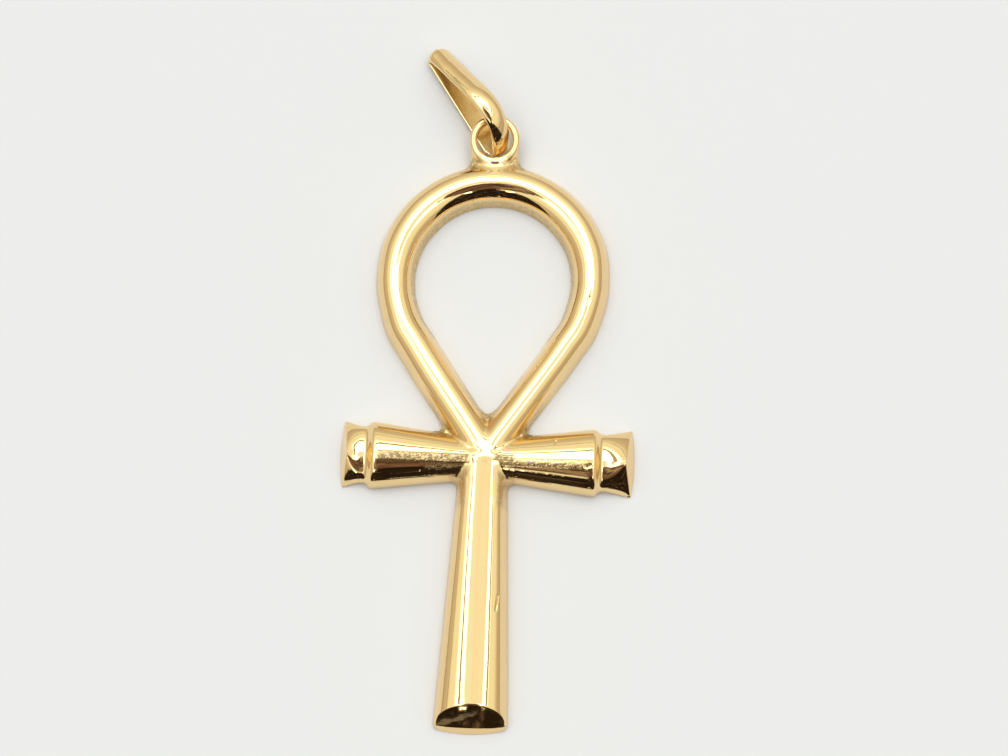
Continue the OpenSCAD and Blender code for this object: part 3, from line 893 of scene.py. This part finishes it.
class PENDANT_OT_casting(bpy.types.Operator):
    """Build the cast body: loop, crossbar, stem and eyelet in one skin"""

    bl_idname = "pendant.casting"
    bl_label = "Cast Body"

    def execute(self, context):
        size, finish = sizes(), context.scene.pendant_finish
        cell = size.section.cell * 1.0
        low, high = (np.array(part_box("ankh")) - CROSSING) * MM
        field = lambda x, y, z: body_field(x, y, z, size)
        points, quads = surface_net(field, low - MARGIN * cell, high + MARGIN * cell, cell)
        points[np.abs(points[:, 2]) < BACK, 2] = 0.0
        piece = mesh_piece("cast_body", points / MM + CROSSING, quads)
        join_flat_back(piece.data)
        points = shade_from_field(piece.data, field)
        # the crevice attribute carries the painted shade of the corners as well as their extra roughness
        give(piece.data, crevice=crevice_depth(points, size), cast_skin=rough_share(points, size))
        gold = gold_material("polished_gold", finish, ("crevice", "cast_skin"), finish.skin, 1.0)
        piece.data.materials.append(gold)
        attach(piece, "ankh")
        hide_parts("ankh")
        return {"FINISHED"}


class PENDANT_OT_bail(bpy.types.Operator):
    """Build the folded strip bail"""

    bl_idname = "pendant.bail"
    bl_label = "Strip Bail"

    def execute(self, context):
        finish = context.scene.pendant_finish
        points, faces, fold_depth, inner_skin = bail_surface(sizes().bail)
        piece = mesh_piece("strip_bail", points, faces)
        # the bend's attribute carries its painted shade as well as its extra roughness
        give(piece.data, fold_depth=fold_depth, inner_skin=inner_skin)
        piece.data.polygons.foreach_set("use_smooth", np.ones(len(piece.data.polygons), bool))
        gold = gold_material("polished_bail_gold", finish, ("fold_depth", "inner_skin"), finish.inside, 0.12)
        piece.data.materials.append(gold)
        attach(piece, "bail")
        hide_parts("bail")
        return {"FINISHED"}


# Camera of the photograph: place, direction, upright and lens
CAMERA_PLACE = Vector((0.007363, -0.025875, 0.163584))
CAMERA_FORWARD = Vector((-0.03877, 0.16002, -0.98635))
CAMERA_UP = Vector((-0.04302, 0.98591, 0.16164))
SENSOR_WIDTH, LENS, NEAREST = 36.0, 85.43, 0.001
# Half the width of the surface, and how far it lies under the pendant's back, in metres
SURFACE_HALF, SURFACE_GAP = 1.5, 0.00001
# Small white lights on the dark screen: place and half sizes on p
SPOTS = (
    (0.125, -0.35, 0.024, 0.045),
    (-0.103, -0.415, 0.024, 0.05),
    (-0.055, -0.878, 0.022, 0.009),
    (0.065, -0.88, 0.01, 0.005),
)


class PENDANT_OT_stage(bpy.types.Operator):
    """Build the surface, the soft surroundings and the camera"""

    bl_idname = "pendant.stage"
    bl_label = "Stage"

    def execute(self, context):
        corners = np.array([[-1, -1], [1, -1], [1, 1], [-1, 1]]) * SURFACE_HALF
        floor = mesh_piece("surface", np.c_[corners, np.full(4, -SURFACE_GAP)], np.array([[0, 1, 2, 3]]))
        floor.data.materials.append(floor_material(context.scene.pendant_finish))
        context.scene.view_settings.view_transform = "Standard"
        camera = bpy.data.objects.new("camera", bpy.data.cameras.new("camera"))
        camera.data.sensor_width = SENSOR_WIDTH
        camera.data.lens = LENS
        camera.data.clip_start = NEAREST
        forward = CAMERA_FORWARD.normalized()
        right = forward.cross(CAMERA_UP).normalized()
        up = right.cross(forward)
        turn = Matrix((right, up, -forward)).transposed().to_4x4()
        camera.matrix_world = Matrix.Translation(CAMERA_PLACE) @ turn
        context.scene.collection.objects.link(camera)
        context.scene.camera = camera
        surroundings(context.scene)
        return {"FINISHED"}


def surroundings(scene):
    """Soft room that the metal mirrors, laid out on p = direction / (1 + height).

    A polished slope of s mirrors the room at p = s. A white soft box stands beyond the middle, with a thin dark
    frame, a warm panel hangs overhead, the walls grow warm and dim towards the horizon, and a dark screen with
    small lights stands on the near side. Each form is laid over the earlier ones.
    """
    world = bpy.data.worlds.new("soft_room")
    scene.world = world
    world.use_nodes = True
    nodes = Nodes(world.node_tree)
    plus, times, step, mix = nodes.plus, nodes.times, nodes.step, nodes.mix
    way = nodes.add("ShaderNodeSeparateXYZ", {0: nodes.add("ShaderNodeTexCoord").outputs["Generated"]}).outputs
    below = nodes.math("MAXIMUM", plus(way[2], 1.0), 0.05)
    px, py = nodes.math("DIVIDE", way[0], below), nodes.math("DIVIDE", way[1], below)
    flat = nodes.add("ShaderNodeCombineXYZ", {0: px, 1: py, 2: 0.0}).outputs[0]
    ripple = nodes.math("SUBTRACT", nodes.noise(flat, 14.0, 3.0, 0.6), 0.5)
    slow = nodes.math("SUBTRACT", nodes.noise(flat, 4.0, 1.0, 0.5), 0.5)

    def oval(x, y, wide, high, power=2.0):
        """Distance from a point, 1 on an oval with the given half sizes."""
        across = nodes.math("POWER", nodes.math("DIVIDE", nodes.apart(px, x), wide), power)
        along = nodes.math("POWER", nodes.math("DIVIDE", nodes.apart(py, y), high), power)
        return nodes.math("POWER", plus(across, along), 1.0 / power)

    def rippled(value, share):
        """A distance whose edge is made uneven."""
        return plus(value, times(ripple, share))

    def band(value, low, high, soft):
        """1 between low and high, with soft edges."""
        return times(step(value, low, low + soft), step(value, high, high - soft))

    # the walls and the soft box
    far = plus(oval(0.0, 0.10, 1.0, 1.0), times(slow, 0.10))
    room = mix(step(far, 0.48, 0.70), (1.02, 1.04, 0.90), (0.66, 0.60, 0.50))
    room = mix(step(far, 0.7, 1.0), room, (0.50, 0.43, 0.36))
    room = mix(step(far, 0.36, 0.25), room, (3.4, 3.4, 3.3))
    # a faint line where the bright walls end
    seam = band(rippled(oval(0.075, 0.05, 0.655, 0.56), 0.06), 0.98, 1.04, 0.02)
    room = mix(times(seam, 0.6), room, (0.20, 0.19, 0.13))
    # the soft box's thin frame, and the warm panel inside it
    rim = band(rippled(oval(0.033, 0.10, 0.255, 0.262), 0.10), 0.90, 1.10, 0.03)
    room = mix(times(times(rim, step(py, -0.12, 0.02)), 0.9), room, (0.16, 0.16, 0.10))
    warm = mix(step(ripple, -0.14, 0.12), (1.14, 1.02, 0.92), (1.00, 1.17, 1.10))
    room = mix(step(oval(0.03, 0.035, 0.155, 0.055, 4.0), 1.12, 0.88), room, warm)
    # the screen's rounded brown top, paler on the left
    left = step(px, 0.0, -0.06)
    tone = mix(left, (0.24, 0.14, 0.11), (0.55, 0.42, 0.35))
    brown = mix(step(ripple, -0.12, 0.14), (0.08, 0.055, 0.04), tone)
    room = mix(step(rippled(oval(0.0, -0.20, 0.16, 0.19, 2.4), 0.5), 1.08, 0.85), room, brown)
    # its dark body under a curved edge, lower on the left
    curve = times(nodes.math("POWER", nodes.apart(px, 0.03), 1.5), 0.36)
    deep = mix(step(ripple, 0.02, 0.2), (0.02, 0.014, 0.01), (0.14, 0.10, 0.07))
    room = mix(step(plus(py, curve, times(ripple, 0.09), times(left, 0.07)), -0.30, -0.36), room, deep)
    for x, y, wide, high in SPOTS:
        room = mix(step(rippled(oval(x, y, wide, high), 1.2), 1.1, 0.8), room, (3.0, 3.0, 2.8))
    # a dim streak low on the near side, which the cut foot mirrors
    streak = band(plus(py, times(px, -0.245), times(ripple, 0.02)), -0.917, -0.895, 0.007)
    room = mix(times(streak, step(px, 0.05, -0.02)), room, (0.20, 0.18, 0.16))
    light = nodes.add("ShaderNodeBackground", {"Color": room, "Strength": 1.0})
    seen = nodes.add("ShaderNodeBackground", {"Color": (0.86, 0.85, 0.86, 1.0), "Strength": 1.0})
    direct = nodes.add("ShaderNodeLightPath").outputs["Is Camera Ray"]
    both = nodes.add("ShaderNodeMixShader", {0: direct, 1: light.outputs[0], 2: seen.outputs[0]})
    nodes.finish("ShaderNodeOutputWorld", both)


class PENDANT_PT_panel(bpy.types.Panel):
    """Sizes and pieces of the pendant"""

    bl_idname = "PENDANT_PT_panel"
    bl_label = "Pendant"
    bl_space_type = "VIEW_3D"
    bl_region_type = "UI"
    bl_category = "Pendant"

    def draw(self, context):
        layout = self.layout
        for operator in OPERATORS:
            layout.operator(operator.bl_idname)
        for name, group in GROUPS.items():
            box = layout.box()
            box.label(text=group.__doc__)
            for key in group.__annotations__:
                box.prop(getattr(context.scene, PREFIX + name), key)


# Property groups by name; the scene holds each under the prefix and that name
PREFIX = "pendant_"
GROUPS = {
    "section": PendantSection,
    "loop": PendantLoop,
    "crossbar": PendantCrossbar,
    "stem": PendantStem,
    "eyelet": PendantEyelet,
    "bail": PendantBail,
    "finish": PendantFinish,
}
OPERATORS = (PENDANT_OT_casting, PENDANT_OT_bail, PENDANT_OT_stage)


def register():
    for name, group in GROUPS.items():
        bpy.utils.register_class(group)
        setattr(bpy.types.Scene, PREFIX + name, bpy.props.PointerProperty(type=group))
    for operator in OPERATORS:
        bpy.utils.register_class(operator)
    bpy.utils.register_class(PENDANT_PT_panel)


def unregister():
    bpy.utils.unregister_class(PENDANT_PT_panel)
    for operator in reversed(OPERATORS):
        bpy.utils.unregister_class(operator)
    for name, group in reversed(GROUPS.items()):
        delattr(bpy.types.Scene, PREFIX + name)
        bpy.utils.unregister_class(group)


def main():
    register()
    bpy.ops.pendant.casting()
    bpy.ops.pendant.bail()
    bpy.ops.pendant.stage()


if __name__ == "__main__":
    main()
